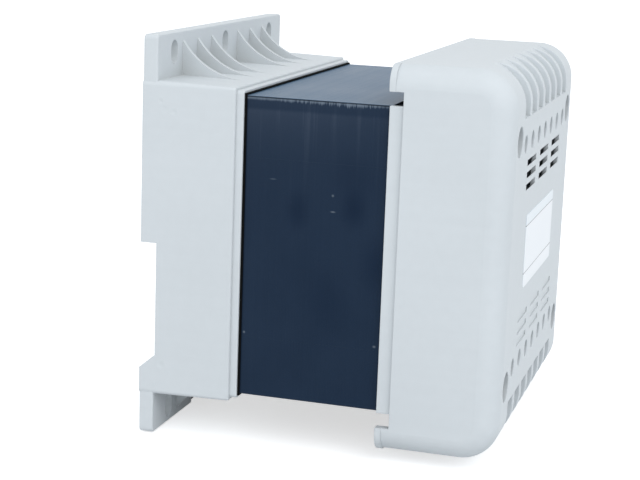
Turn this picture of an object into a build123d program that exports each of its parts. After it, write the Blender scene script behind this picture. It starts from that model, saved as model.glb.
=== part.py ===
"""A mains transformer for a 35 mm mounting rail or a panel.

An E-I lamination core and its coil are clamped by four long bolts between a moulded rear base,
with a rail seat and slotted flanges, and a moulded front cover with the terminals behind it.
Millimetres. +Z is up, the front faces -Y and X runs across. The origin is on the standing
surface under the middle of the object. Depths are counted forward from the mounting plane, and
heights in sketches from the middle of the core."""

import os
from math import hypot, radians, tan

from build123d import *

# Core: E and I laminations of the usual proportions, all set by one unit
lamination_unit = 19.0
stack_depth = 54.0
core_hole_diameter = 5.8

# Coil on the centre leg
bobbin_clearance = 0.25
bobbin_wall = 1.5
primary_build = 7.4
insulation_build = 0.5
secondary_build = 7.0
outer_wrap_build = 0.4
coil_corner = 2.0
winding_end_gap = 0.2

# Rear base: a drafted tray whose rim holds the back of the core
base_width = 120.6
base_height = 101.0
base_depth = 30.2
base_draft = 1.4
base_corner = 1.6
rim_wall = 0.8
rim_depth = 2.3
rim_corner = 1.2
core_engagement = 3.7
seat_ledge = 2.0
back_wall = 3.0
soft_edge = 0.5
fine_edge = 0.3

# Black edge strip wrapped round the back of the core, between it and the rim
strip_thickness = 0.5
strip_clearance = 0.05
strip_reach = 0.7

# Flanges above and below the base, with slots for wall screws and thin gussets between them
flange_width = 119.8
flange_height = 127.0
upper_flange_extra = 0.9
flange_thickness = 4.7
flange_corner = 1.4
flange_edge = 0.5
slot_width = 5.5
slot_length = 7.6
slot_spacing = 46.3
slot_edge_margin = 5.3
gusset_thickness = 1.6
gusset_pitch = 12.85
gusset_per_group = 3
gusset_tip_margin = 2.2
gusset_reach = 25.0
gusset_hollow = 25.0

# Rail seat across the back of the base
rail_height = 35.0
rail_thickness = 1.0
rail_play = 1.5
rail_seat_top = -0.8
rail_seat_depth = 5.2
rail_seat_wall = 4.2
rail_ramp_height = 4.5
hook_spacing = 34.0
hook_width = 14.0
hook_drop = 1.8
hook_thickness = 2.8
hook_clearance = 0.2

# Two sprung latches that hold the lower edge of the rail
latch_width = 12.0
latch_rib_width = 9.0
latch_foot_thickness = 2.0
latch_clearance = 0.3
latch_lip = 1.6
latch_nose_overlap = 1.5
latch_nose_slope = 3.6
latch_travel = 4.5
latch_tail_margin = 0.6
latch_lug_width = 3.2
latch_lug_height = 3.0
latch_lug_reach = 3.6
latch_lug_stop_gap = 0.4
pry_slot_width = 5.0
pry_slot_height = 1.6
pry_slot_margin = 2.4
pry_window_height = 5.0
housing_wall = 1.6
spring_pressed_length = 6.0
spring_wire = 0.45
spring_turns = 6.5
spring_radial_gap = 0.2

# Front cover: a shell with hoods above and below the core
cover_side_margin = 3.0
cover_height = 120.0
cover_back = 78.4
cover_front = 116.3
cover_wall = 2.6
cover_front_radius = 12.0
cover_side_radius = 7.0
hood_border = 2.0
hood_border_step = 0.2
hood_border_corner = 5.6
lip_clearance = 0.2
lip_outer_inset = 1.2
lip_anchor = 3.0
window_height = 4.4
window_clearance = 0.1

# What the front face carries, set a little above the middle of the core
face_rise = 0.8
terminal_count = 7
terminal_pitch = 12.3
terminal_row = 35.3
driver_hole_diameter = 5.6
bolt_hole_diameter = 9.4
bolt_tube_wall = 1.2
bolt_tube_floor = 3.0
groove_width = 9.3
groove_depth = 3.0
groove_lift = 0.5
groove_low = 44.4
groove_edge = 0.3
vent_width = 16.8
vent_height = 1.8
vent_columns = 3
vent_rows = 3
vent_column_pitch = 24.0
vent_row_pitch = 3.85
vent_row_middle = 25.05
vent_recess = 0.4
vent_slat = 0.8
vent_flare = 0.85
vent_wall = 1.5
vent_panel_side = 7.0
vent_panel_drop = 3.0
plate_width = 53.2
plate_height = 23.5
plate_shift = -1.5
plate_thickness = 0.2
plate_corner = 1.0

# Bolts that hold cover, core and base together
bolt_diameter = 5.0
bolt_play = 0.4
bolt_head_diameter = 8.0
bolt_head_height = 3.4
bolt_recess_length = 4.6
bolt_recess_width = 1.1
bolt_recess_depth = 1.6
bolt_end = 2.0
washer_thickness = 1.0
nut_across_flats = 8.0
nut_height = 4.6
nut_play = 0.2
nut_web = 6.0
nut_thread_gap = 0.05
boss_diameter = 14.0

# Terminal blocks in front of the yokes
block_floor = 1.2
block_end_wall = 1.1
block_height = 16.2
block_low = 29.4
block_tube_gap = 0.3
block_front_gap = 3.4
block_back_gap = 1.0
ear_thickness = 3.0
ear_width = 9.5
ear_height = 11.0
strap_thickness = 0.8
strap_width = 5.0
strap_ring_diameter = 10.0
cell_width = 7.4
cell_back = 7.0
cell_front_wall = 3.0
clamp_clearance = 0.3
clamp_height = 9.0
clamp_wall = 1.0
tag_width = 1.6
tag_thickness = 1.0
tag_reach = 1.0
screw_diameter = 3.5
screw_head_diameter = 5.0
screw_head_height = 2.2
screw_slot_width = 0.8
screw_slot_depth = 1.0
screw_hole_play = 0.4
screw_sink = 0.6
screw_reach = 5.0

# Wires from the coil to the terminals
primary_lead_diameter = 1.2
secondary_lead_diameter = 1.6
lead_length = 11.0
lead_gap = 0.2

# Worked out from the sizes above
core_width = 6 * lamination_unit
core_height = 5 * lamination_unit
leg_width = 2 * lamination_unit
window_reach = leg_width / 2 + lamination_unit
window_half = 1.5 * lamination_unit
bolt_x = 2.5 * lamination_unit
bolt_z = 2 * lamination_unit
core_back = base_depth + rim_depth - core_engagement
core_front = core_back + stack_depth
core_middle = core_back + stack_depth / 2
cover_width = core_width + 2 * cover_side_margin
back_y = (cover_front + plate_thickness) / 2
centre_z = flange_height / 2
bolt_places = [(x, z) for x in (-bolt_x, bolt_x) for z in (-bolt_z, bolt_z)]
tolerance = 0.01


def face_at(depth):
    """The plane that faces forward at a depth, with its origin on the core's axis."""
    return Plane((0, back_y - depth, centre_z), x_dir=(1, 0, 0), z_dir=(0, -1, 0))


def side_at(x):
    """The plane across X whose own x runs forward from the mounting plane and y runs up."""
    return Plane((x, back_y, centre_z), x_dir=(0, -1, 0), z_dir=(-1, 0, 0))


def level_at(height):
    """The level plane at a height from the core's middle, centred on the core's leg."""
    return Plane((0, back_y - core_middle, centre_z + height), x_dir=(1, 0, 0), z_dir=(0, 0, 1))


def block(x_low, x_high, depth_low, depth_high, z_low, z_high, mode=Mode.ADD):
    """A rectangular block between two places in X, depth and height."""
    with BuildSketch(face_at(depth_low)) as section:
        with Locations(((x_low + x_high) / 2, (z_low + z_high) / 2)):
            Rectangle(x_high - x_low, z_high - z_low)
    extrude(section.sketch, amount=depth_high - depth_low, mode=mode)


def rods(places, diameter, depth_low, depth_high, mode=Mode.ADD):
    """Round rods, or holes, that run forward at a list of places in X and height."""
    with BuildSketch(face_at(depth_low)) as section:
        with Locations(*places):
            Circle(diameter / 2)
    extrude(section.sketch, amount=depth_high - depth_low, mode=mode)


def save(piece, name):
    """Labels a finished piece and writes it to its own file."""
    piece.part.label = name
    export_step(piece.part, f"parts/{name}.step")


os.makedirs("parts", exist_ok=True)

# Rear base
gusset_places = [
    sign * step * gusset_pitch for sign in (-1, 1) for step in range(1, gusset_per_group + 1)
]
slot_height = flange_height / 2 - slot_edge_margin
rail_seat_bottom = rail_seat_top - rail_height - rail_play
cavity_floor = rail_seat_depth + rail_seat_wall
rim_gap = strip_thickness + 2 * strip_clearance
rim_margin = rim_gap + rim_wall
latch_x = 1.5 * gusset_pitch
channel_depth = latch_lip + latch_foot_thickness + 2 * latch_clearance
channel_half = latch_width / 2 + latch_clearance
throat_half = latch_rib_width / 2 + latch_clearance
lug_top = rail_seat_bottom - rail_ramp_height - latch_lug_stop_gap - latch_clearance
lug_bottom = lug_top - latch_lug_height
pocket_top = lug_top + latch_lug_stop_gap
pocket_bottom = lug_bottom - latch_travel - spring_pressed_length
pocket_half = latch_lug_width / 2 + latch_clearance
pocket_depth = channel_depth + latch_lug_reach
housing_depth = pocket_depth + housing_wall
housing_half = channel_half + housing_wall
flange_low = -flange_height / 2
pry_window_top = flange_low + pry_window_height
hook_back = rail_seat_depth - rail_thickness - hook_clearance - hook_thickness
nut_seat = core_back - nut_web


def base_top(depth):
    """Half the drafted height of the base at a depth."""
    return base_height / 2 - depth * tan(radians(base_draft))


with BuildPart() as rear_base:
    with BuildSketch(face_at(0)):
        with Locations((0, upper_flange_extra / 2)):
            RectangleRounded(flange_width, flange_height + upper_flange_extra, flange_corner)
    extrude(amount=flange_thickness)
    fillet(rear_base.faces().filter_by(Axis.Y).edges(), radius=flange_edge)
    with BuildSketch(face_at(0)):
        RectangleRounded(base_width, base_height, base_corner)
    extrude(amount=base_depth, taper=base_draft)
    fillet(rear_base.faces().sort_by(Axis.Y)[0].edges(), radius=soft_edge)
    with BuildSketch(face_at(base_depth - soft_edge)):
        RectangleRounded(core_width + 2 * rim_margin, core_height + 2 * rim_margin, rim_corner)
    extrude(amount=rim_depth + soft_edge)
    fillet(rear_base.faces().sort_by(Axis.Y)[0].edges(), radius=fine_edge)
    # Gussets brace each flange against the tray
    for x in gusset_places:
        with BuildSketch(side_at(x)):
            tip = (flange_thickness, flange_height / 2 - gusset_tip_margin)
            toe = (gusset_reach, base_top(gusset_reach))
            with BuildLine():
                RadiusArc(tip, toe, -gusset_hollow)
                Polyline(toe, (0, 0), (0, tip[1]), tip)
            make_face()
            mirror(about=Plane.XZ)
        extrude(amount=gusset_thickness / 2, both=True)
    # Spring housings under the tray, in front of the lower flange
    for x in (-latch_x, latch_x):
        block(x - housing_half, x + housing_half, 0, housing_depth, pry_window_top, -base_top(0))
    # The tray's hollow for the coil, and the pocket that seats the core
    block(
        seat_ledge - core_width / 2,
        core_width / 2 - seat_ledge,
        cavity_floor,
        core_back,
        seat_ledge - core_height / 2,
        core_height / 2 - seat_ledge,
        Mode.SUBTRACT,
    )
    block(
        seat_ledge - core_width / 2,
        core_width / 2 - seat_ledge,
        back_wall,
        cavity_floor,
        rail_seat_top + rail_seat_wall,
        core_height / 2 - seat_ledge,
        Mode.SUBTRACT,
    )
    with BuildSketch(face_at(core_back)):
        Rectangle(core_width + 2 * rim_gap, core_height + 2 * rim_gap)
    extrude(amount=core_engagement, mode=Mode.SUBTRACT)
    # Bosses under the core's bolt holes
    rods(bolt_places, boss_diameter, back_wall, core_back)
    # Rail seat with a square shoulder above and a ramp below
    with BuildSketch(side_at(0)):
        with BuildLine():
            Polyline(
                (0, rail_seat_top),
                (rail_seat_depth, rail_seat_top),
                (rail_seat_depth, rail_seat_bottom),
                (0, rail_seat_bottom - rail_ramp_height),
                close=True,
            )
        make_face()
    extrude(amount=base_width, both=True, mode=Mode.SUBTRACT)
    for x in (-hook_spacing, hook_spacing):
        block(
            x - hook_width / 2,
            x + hook_width / 2,
            hook_back,
            hook_back + hook_thickness,
            rail_seat_top - hook_drop,
            rail_seat_top + hook_drop,
        )
    # Wall screw slots
    with BuildSketch(face_at(0)):
        with GridLocations(slot_spacing, 2 * slot_height, 3, 2):
            SlotOverall(slot_length, slot_width, rotation=90)
    extrude(amount=flange_thickness, mode=Mode.SUBTRACT)
    # Latch channels, spring pockets and the openings that reach the latches' tails
    for x in (-latch_x, latch_x):
        for half, shallow, deep, low, high in (
            (throat_half, 0, latch_lip, flange_low, rail_seat_bottom),
            (channel_half, latch_lip, channel_depth, flange_low, rail_seat_bottom),
            (pocket_half, channel_depth, pocket_depth, pocket_bottom, pocket_top),
            (channel_half, channel_depth, housing_depth, flange_low, pry_window_top),
        ):
            block(x - half, x + half, shallow, deep, low, high, Mode.SUBTRACT)
    # Bolt holes, and six-sided pockets that hold the nuts from behind
    rods(bolt_places, bolt_diameter + bolt_play, 0, core_back, Mode.SUBTRACT)
    with BuildSketch(face_at(0)):
        with Locations(*bolt_places):
            RegularPolygon((nut_across_flats + nut_play) / 2, 6, major_radius=False)
    extrude(amount=nut_seat, mode=Mode.SUBTRACT)
save(rear_base, "rear_base")

# Rail latches: flat sliders with a nose for the rail, a lug for the spring and a tail to pry
rail_low = rail_seat_top - rail_height
nose_top = rail_low + latch_nose_overlap
tail_low = flange_low + latch_tail_margin
foot_back = latch_lip + latch_clearance
foot_front = foot_back + latch_foot_thickness
for side, x in (("left", -latch_x), ("right", latch_x)):
    with BuildPart() as rail_latch:
        with BuildSketch(side_at(x)):
            with BuildLine():
                Polyline(
                    (foot_back, tail_low),
                    (foot_front, tail_low),
                    (foot_front, nose_top),
                    (foot_back, nose_top),
                    close=True,
                )
            make_face()
        extrude(amount=latch_width / 2, both=True)
        block(
            x - latch_rib_width / 2,
            x + latch_rib_width / 2,
            latch_clearance,
            foot_back,
            tail_low,
            nose_top,
        )
        # The slope that rides down over the rail
        with BuildSketch(side_at(x)):
            with BuildLine():
                Polyline(
                    (0, nose_top - latch_nose_slope),
                    (0, nose_top),
                    (foot_front - latch_foot_thickness / 2, nose_top),
                    close=True,
                )
            make_face()
        extrude(amount=latch_width, both=True, mode=Mode.SUBTRACT)
        block(
            x - latch_lug_width / 2,
            x + latch_lug_width / 2,
            foot_front,
            foot_front + latch_lug_reach,
            lug_bottom,
            lug_top,
        )
        pry_low = tail_low + pry_slot_margin
        block(
            x - pry_slot_width / 2,
            x + pry_slot_width / 2,
            0,
            channel_depth,
            pry_low,
            pry_low + pry_slot_height,
            Mode.SUBTRACT,
        )
    save(rail_latch, f"{side}_rail_latch")

# Latch springs: wire coils between the pocket's floor and the lug
spring_radius = (pocket_depth - channel_depth) / 2 - spring_radial_gap - spring_wire / 2
spring_height = lug_bottom - pocket_bottom - spring_wire - spring_radial_gap
spring_start = pocket_bottom + (spring_wire + spring_radial_gap) / 2
for side, x in (("left", -latch_x), ("right", latch_x)):
    foot = (x, back_y - (channel_depth + pocket_depth) / 2, centre_z + spring_start)
    with BuildPart() as latch_spring:
        with BuildLine(Plane(foot)) as wire_path:
            Helix(pitch=spring_height / spring_turns, height=spring_height, radius=spring_radius)
        with BuildSketch(Plane(origin=wire_path.line @ 0, z_dir=wire_path.line % 0)):
            Circle(spring_wire / 2)
        sweep(path=wire_path.line, is_frenet=True)
    save(latch_spring, f"{side}_latch_spring")

# Core
with BuildPart() as e_laminations:
    with BuildSketch(face_at(core_back)):
        with Locations((0, -lamination_unit / 2)):
            Rectangle(core_width, core_height - lamination_unit)
        with Locations((-1.5 * lamination_unit, 0), (1.5 * lamination_unit, 0)):
            Rectangle(lamination_unit, 2 * window_half, mode=Mode.SUBTRACT)
        with Locations((-bolt_x, -bolt_z), (bolt_x, -bolt_z)):
            Circle(core_hole_diameter / 2, mode=Mode.SUBTRACT)
    extrude(amount=stack_depth)
save(e_laminations, "e_laminations")

with BuildPart() as i_laminations:
    with BuildSketch(face_at(core_back)):
        with Locations((0, bolt_z)):
            Rectangle(core_width, lamination_unit)
        with Locations((-bolt_x, bolt_z), (bolt_x, bolt_z)):
            Circle(core_hole_diameter / 2, mode=Mode.SUBTRACT)
    extrude(amount=stack_depth)
save(i_laminations, "i_laminations")

# Edge strip that fills the gap between the core and the rim
strip_inside = 2 * strip_clearance
strip_outside = strip_inside + 2 * strip_thickness
with BuildPart() as edge_strip:
    with BuildSketch(face_at(core_back)):
        Rectangle(core_width + strip_outside, core_height + strip_outside)
        Rectangle(core_width + strip_inside, core_height + strip_inside, mode=Mode.SUBTRACT)
    extrude(amount=core_engagement + strip_reach)
save(edge_strip, "edge_strip")

# Bobbin: a square tube on the centre leg with a flange at each end
tube_x = leg_width + 2 * bobbin_clearance
tube_y = stack_depth + 2 * bobbin_clearance
coil_build = primary_build + insulation_build + secondary_build + outer_wrap_build
bobbin_x = 2 * (window_reach - bobbin_clearance)
bobbin_y = tube_y + 2 * (bobbin_wall + coil_build) + 2 * bobbin_clearance
bobbin_half = window_half - bobbin_clearance
winding_half = bobbin_half - bobbin_wall - winding_end_gap
with BuildPart() as bobbin:
    with BuildSketch(level_at(-bobbin_half)):
        Rectangle(tube_x + 2 * bobbin_wall, tube_y + 2 * bobbin_wall)
    extrude(amount=2 * bobbin_half)
    for floor in (-bobbin_half, bobbin_half - bobbin_wall):
        with BuildSketch(level_at(floor)):
            RectangleRounded(bobbin_x, bobbin_y, coil_corner)
        extrude(amount=bobbin_wall)
    with BuildSketch(level_at(-bobbin_half)):
        Rectangle(tube_x, tube_y)
    extrude(amount=2 * bobbin_half, mode=Mode.SUBTRACT)
save(bobbin, "bobbin")

# Windings and their insulation: rings that follow each other out from the bobbin's tube
layers = (
    ("primary_winding", primary_build),
    ("inner_insulation", insulation_build),
    ("secondary_winding", secondary_build),
    ("outer_insulation", outer_wrap_build),
)
inside = bobbin_wall
for name, build in layers:
    with BuildPart() as layer:
        with BuildSketch(level_at(-winding_half)):
            outside = inside + build
            RectangleRounded(tube_x + 2 * outside, tube_y + 2 * outside, outside)
            if inside > bobbin_wall:
                RectangleRounded(tube_x + 2 * inside, tube_y + 2 * inside, inside, mode=Mode.SUBTRACT)
            else:
                Rectangle(tube_x + 2 * inside, tube_y + 2 * inside, mode=Mode.SUBTRACT)
        extrude(amount=2 * winding_half)
    save(layer, name)
    inside = outside

# Front cover
groove_floor = cover_front - groove_depth
groove_centre = groove_floor - cover_front_radius
cover_half = cover_height / 2
groove_rise = cover_half - cover_front_radius + groove_lift
lip_front = core_front + window_clearance
terminal_places = [
    (number - (terminal_count - 1) / 2) * terminal_pitch for number in range(terminal_count)
]
row_places = [(x, face_rise + sign * terminal_row) for sign in (-1, 1) for x in terminal_places]
vent_places = [(number - (vent_columns - 1) / 2) * vent_column_pitch for number in range(vent_columns)]
vents_low = face_rise + vent_row_middle - (vent_rows - 1) * vent_row_pitch / 2
vent_rises = [vents_low + number * vent_row_pitch for number in range(vent_rows)]
ear_front = core_front + ear_thickness
tube_diameter = bolt_hole_diameter + 2 * bolt_tube_wall


def rounded_profile(front, half_height, radius, back):
    """Side outline of a box with its upper and lower front edges rounded."""
    bend = front - radius
    Polyline((bend, half_height), (back, half_height), (back, -half_height), (bend, -half_height))
    JernArc((bend, -half_height), (1, 0), radius, 90)
    Line((front, radius - half_height), (front, half_height - radius))
    JernArc((front, half_height - radius), (0, 1), radius, 90)


def is_rib_wall(face):
    """Whether a face is a side wall of one of the grooves."""
    across = [abs(abs(face.center().X - x) - groove_width / 2) for x in terminal_places]
    return min(across) < tolerance and abs(face.center().Z - centre_z) > groove_low


def is_on_outline(edge):
    """Whether an edge runs along the cover's rounded outside."""
    depths = [back_y - (edge @ place).Y - cover_front + cover_front_radius for place in (0, 0.5, 1)]
    rises = [abs((edge @ place).Z - centre_z) - cover_half + cover_front_radius for place in (0, 0.5, 1)]
    gaps = [cover_front_radius - hypot(max(d, 0), max(r, 0)) for d, r in zip(depths, rises)]
    return max(abs(gap) for gap in gaps) < tolerance


def is_at_front(edge):
    """Whether an edge lies in the flat front of the cover."""
    return abs(back_y - edge.center().Y - cover_front) < tolerance and edge.is_closed


def is_at_rear(face):
    """Whether a face lies in the open rear plane of the cover."""
    return abs(back_y - face.center().Y - cover_back) < tolerance


with BuildPart() as cover_hollow:
    with BuildSketch(side_at(0)):
        with BuildLine():
            rounded_profile(
                groove_floor - cover_wall,
                cover_half - cover_wall,
                cover_front_radius - cover_wall,
                cover_back - cover_wall,
            )
        make_face()
    extrude(amount=cover_width / 2 - cover_wall, both=True)
    hollow_edges = cover_hollow.faces().filter_by(Axis.X).edges()
    fillet(
        hollow_edges.filter_by(lambda edge: edge.center().Y < back_y - cover_back),
        radius=cover_side_radius - cover_wall,
    )
    block(
        -bolt_x,
        bolt_x,
        groove_floor - 2 * cover_wall,
        cover_front - cover_wall,
        cover_wall - groove_low,
        groove_low - cover_wall,
    )

with BuildPart() as front_cover:
    with BuildSketch(side_at(0)):
        with BuildLine():
            rounded_profile(cover_front, cover_half, cover_front_radius, cover_back)
        make_face()
    extrude(amount=cover_width / 2, both=True)
    side_edges = front_cover.faces().filter_by(Axis.X).edges()
    rear_y = back_y - cover_back
    fillet(
        side_edges.filter_by(lambda edge: edge.center().Y < rear_y - soft_edge),
        radius=cover_side_radius,
    )
    add(cover_hollow.part, mode=Mode.SUBTRACT)
    # A low border up the sides of the hoods' rear edge with tighter corners, and the gap to the lips
    with BuildSketch(face_at(cover_back)):
        RectangleRounded(cover_width + 2 * hood_border_step, cover_height, hood_border_corner)
        RectangleRounded(
            cover_width - 2 * cover_wall,
            cover_height - 2 * cover_wall,
            cover_side_radius - cover_wall,
            mode=Mode.SUBTRACT,
        )
    extrude(amount=hood_border)
    opening = core_height / 2 + window_clearance + window_height
    block(-cover_width, cover_width, cover_back, lip_front, -opening, opening, Mode.SUBTRACT)
    # Lips that reach back beside the core
    lip_inside = core_width / 2 + lip_clearance
    lip_outside = cover_width / 2 - lip_outer_inset
    lip_half = core_height / 2 + window_clearance
    for low, high in ((-lip_outside, -lip_inside), (lip_inside, lip_outside)):
        block(low, high, cover_back, lip_front + lip_anchor, -lip_half, lip_half)
    # Tubes that lead the bolts through to the core
    rods(bolt_places, tube_diameter, ear_front, cover_front - cover_wall)
    rods(bolt_places, bolt_hole_diameter, ear_front + bolt_tube_floor, cover_front, Mode.SUBTRACT)
    rods(bolt_places, bolt_diameter + bolt_play, ear_front, cover_front, Mode.SUBTRACT)
    # Screwdriver holes in front of the terminals
    rods(row_places, driver_hole_diameter, groove_floor - cover_wall, cover_front, Mode.SUBTRACT)
    # Grooves over the rounded front edges, one in line with each terminal
    for x in terminal_places:
        with BuildSketch(side_at(x)):
            with BuildLine():
                JernArc((groove_floor, groove_rise), (0, 1), cover_front_radius, 90)
                Polyline(
                    (groove_centre, groove_rise + cover_front_radius),
                    (cover_front + groove_depth, groove_rise + cover_front_radius),
                    (cover_front + groove_depth, groove_low),
                    (groove_floor, groove_low),
                    (groove_floor, groove_rise),
                )
            make_face()
            mirror(about=Plane.XZ)
        extrude(amount=groove_width / 2, both=True, mode=Mode.SUBTRACT)
    rib_walls = front_cover.faces().filter_by(Axis.X).filter_by(is_rib_wall)
    fillet(rib_walls.edges().filter_by(is_on_outline), radius=groove_edge)
    # Vents above the plate, which widen inwards so that the slats between them are thin wedges
    mouth, throat = vent_height / 2, vent_height / 2 + vent_flare
    for x in vent_places:
        with BuildSketch(side_at(x)):
            for rise in vent_rises:
                with BuildLine():
                    Polyline(
                        (cover_front, rise - mouth),
                        (cover_front, rise + mouth),
                        (cover_front - vent_slat, rise + throat),
                        (cover_front - vent_slat, rise - throat),
                        close=True,
                    )
                make_face()
        extrude(amount=vent_width / 2, both=True, mode=Mode.SUBTRACT)
        block(
            x - vent_width / 2,
            x + vent_width / 2,
            cover_front - vent_wall,
            cover_front - vent_slat,
            vent_rises[0] - vent_panel_drop,
            vent_rises[-1] + throat,
            Mode.SUBTRACT,
        )
    # The wall round the vents is thinned from behind
    block(
        vent_places[0] - vent_width / 2 - vent_panel_side,
        vent_places[-1] + vent_width / 2 + vent_panel_side,
        cover_front - cover_wall,
        cover_front - vent_wall,
        vent_rises[0] - vent_panel_drop,
        vent_rises[-1] + throat,
        Mode.SUBTRACT,
    )
    # Blind vents of the same size below the plate
    with BuildSketch(face_at(cover_front - vent_recess)):
        with Locations((0, face_rise - vent_row_middle)):
            with GridLocations(vent_column_pitch, vent_row_pitch, vent_columns, vent_rows):
                Rectangle(vent_width, vent_height)
    extrude(amount=vent_recess, mode=Mode.SUBTRACT)
    # Fine rounding round the holes and along the free rear edges
    front_circles = front_cover.edges().filter_by(GeomType.CIRCLE).filter_by(is_at_front)
    fillet(front_circles, radius=groove_edge)
    rear_faces = front_cover.faces().filter_by(Axis.Y).filter_by(is_at_rear)
    fillet(rear_faces.edges(), radius=fine_edge)
save(front_cover, "front_cover")

with BuildPart() as nameplate:
    with BuildSketch(face_at(cover_front)):
        with Locations((plate_shift, face_rise)):
            RectangleRounded(plate_width, plate_height, plate_corner)
    extrude(amount=plate_thickness)
save(nameplate, "nameplate")

# Bolts, washers and nuts
head_seat = ear_front + bolt_tube_floor + washer_thickness
bolt_tip = nut_seat - nut_height - bolt_end
with BuildPart() as core_bolts:
    rods(bolt_places, bolt_diameter, bolt_tip, head_seat)
    rods(bolt_places, bolt_head_diameter, head_seat, head_seat + bolt_head_height)
    with BuildSketch(face_at(head_seat + bolt_head_height - bolt_recess_depth)):
        with Locations(*bolt_places):
            Rectangle(bolt_recess_length, bolt_recess_width)
            Rectangle(bolt_recess_width, bolt_recess_length)
    extrude(amount=bolt_recess_depth, mode=Mode.SUBTRACT)
save(core_bolts, "core_bolts")

with BuildPart() as bolt_washers:
    rods(bolt_places, bolt_head_diameter, ear_front + bolt_tube_floor, head_seat)
    rods(bolt_places, bolt_diameter + bolt_play, ear_front, head_seat, Mode.SUBTRACT)
save(bolt_washers, "bolt_washers")

with BuildPart() as core_nuts:
    with BuildSketch(face_at(nut_seat - nut_height)):
        with Locations(*bolt_places):
            RegularPolygon(nut_across_flats / 2, 6, major_radius=False)
            Circle(bolt_diameter / 2 + nut_thread_gap, mode=Mode.SUBTRACT)
    extrude(amount=nut_height)
save(core_nuts, "core_nuts")

# Terminal blocks: one in front of each yoke, clamped under the bolts by an ear at each end
block_back = core_front + block_back_gap
block_front = cover_front - cover_wall - block_front_gap
block_half = terminal_places[-1] + cell_width / 2 + block_end_wall
cell_low = block_low + block_floor
cell_rear = block_back + cell_back
cell_front = block_front - cell_front_wall
clamp_half = cell_width / 2 - clamp_clearance
clamp_back = cell_rear + clamp_clearance
clamp_front = cell_front - clamp_clearance
clamp_low = cell_low + clamp_clearance
clamp_high = clamp_low + clamp_height
lead_depth = core_middle + bobbin_y / 2 + lead_gap
tag_back = lead_depth + primary_lead_diameter / 2 - tag_thickness / 2
tag_low = block_low - tag_reach
strap_place = (bolt_x, bolt_z)
strap_end = terminal_places[-1] - clamp_half

for row, sign in (("upper", 1), ("lower", -1)):
    rise = face_rise * sign
    screw_places = [(x, sign * (terminal_row + rise)) for x in terminal_places]

    def row_block(x_low, x_high, depth_low, depth_high, z_low, z_high, mode=Mode.ADD):
        """A block of the upper row, or its mirror image in the lower one."""
        low, high = sorted((sign * z_low, sign * z_high))
        block(x_low, x_high, depth_low, depth_high, low, high, mode)

    with BuildPart() as terminal_block:
        row_block(-block_half, block_half, block_back, block_front, block_low, block_low + block_height)
        for x in terminal_places:
            row_block(
                x - cell_width / 2,
                x + cell_width / 2,
                cell_rear,
                cell_front,
                cell_low,
                block_low + block_height,
                Mode.SUBTRACT,
            )
            row_block(
                x - tag_width / 2 - clamp_clearance,
                x + tag_width / 2 + clamp_clearance,
                tag_back - clamp_clearance,
                tag_back + tag_thickness + clamp_clearance,
                block_low,
                cell_low,
                Mode.SUBTRACT,
            )
        rods(screw_places, screw_head_diameter + screw_hole_play, cell_front, block_front, Mode.SUBTRACT)
        ear_end = bolt_x + ear_width / 2
        ear_root = block_half - block_end_wall
        for low, high in ((-ear_end, -ear_root), (ear_root, ear_end)):
            row_block(low, high, core_front, ear_front, bolt_z - ear_height / 2, bolt_z + ear_height / 2)
        row_bolts = [(-bolt_x, sign * bolt_z), (bolt_x, sign * bolt_z)]
        rods(row_bolts, tube_diameter + 2 * block_tube_gap, ear_front, block_front, Mode.SUBTRACT)
        rods(row_bolts, bolt_diameter + bolt_play, core_front, ear_front, Mode.SUBTRACT)
        if row == "upper":
            # Room for the earth strap behind the block and under the right-hand ear
            row_block(
                strap_end - clamp_clearance,
                bolt_x + ear_width,
                core_front,
                core_front + strap_thickness,
                bolt_z - ear_height,
                bolt_z + ear_height,
                Mode.SUBTRACT,
            )
            row_block(
                strap_end - clamp_clearance,
                terminal_places[-1] + clamp_half + clamp_clearance,
                block_back,
                cell_rear,
                bolt_z - strap_width / 2 - clamp_clearance,
                bolt_z + strap_width / 2 + clamp_clearance,
                Mode.SUBTRACT,
            )
    save(terminal_block, f"{row}_terminal_block")

    with BuildPart() as terminal_clamps:
        for x in terminal_places:
            row_block(x - clamp_half, x + clamp_half, clamp_back, clamp_front, clamp_low, clamp_high)
            row_block(
                x - clamp_half + clamp_wall,
                x + clamp_half - clamp_wall,
                clamp_back + clamp_wall,
                clamp_front - clamp_wall,
                clamp_low,
                clamp_high,
                Mode.SUBTRACT,
            )
            row_block(
                x - tag_width / 2,
                x + tag_width / 2,
                tag_back,
                tag_back + tag_thickness,
                tag_low,
                clamp_low + clamp_wall,
            )
            row_block(
                x - tag_width / 2,
                x + tag_width / 2,
                tag_back,
                clamp_front,
                clamp_low,
                clamp_low + clamp_wall,
            )
        thread_hole = screw_diameter + screw_hole_play
        rods(screw_places, thread_hole, clamp_front - clamp_wall, clamp_front, Mode.SUBTRACT)
        if row == "upper":
            # The earth terminal's own tongue, back to the strap
            row_block(
                strap_end,
                terminal_places[-1] + clamp_half,
                core_front + strap_thickness,
                clamp_back,
                bolt_z - strap_width / 2,
                bolt_z + strap_width / 2,
            )
    save(terminal_clamps, f"{row}_terminal_clamps")

    with BuildPart() as terminal_screws:
        head_front = block_front - screw_sink
        head_back = head_front - screw_head_height
        rods(screw_places, screw_head_diameter, head_back, head_front)
        rods(screw_places, screw_diameter, clamp_front - screw_reach, head_back)
        with BuildSketch(face_at(head_front - screw_slot_depth)):
            with Locations(*screw_places):
                Rectangle(screw_slot_width, screw_head_diameter)
        extrude(amount=screw_slot_depth, mode=Mode.SUBTRACT)
    save(terminal_screws, f"{row}_terminal_screws")

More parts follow.
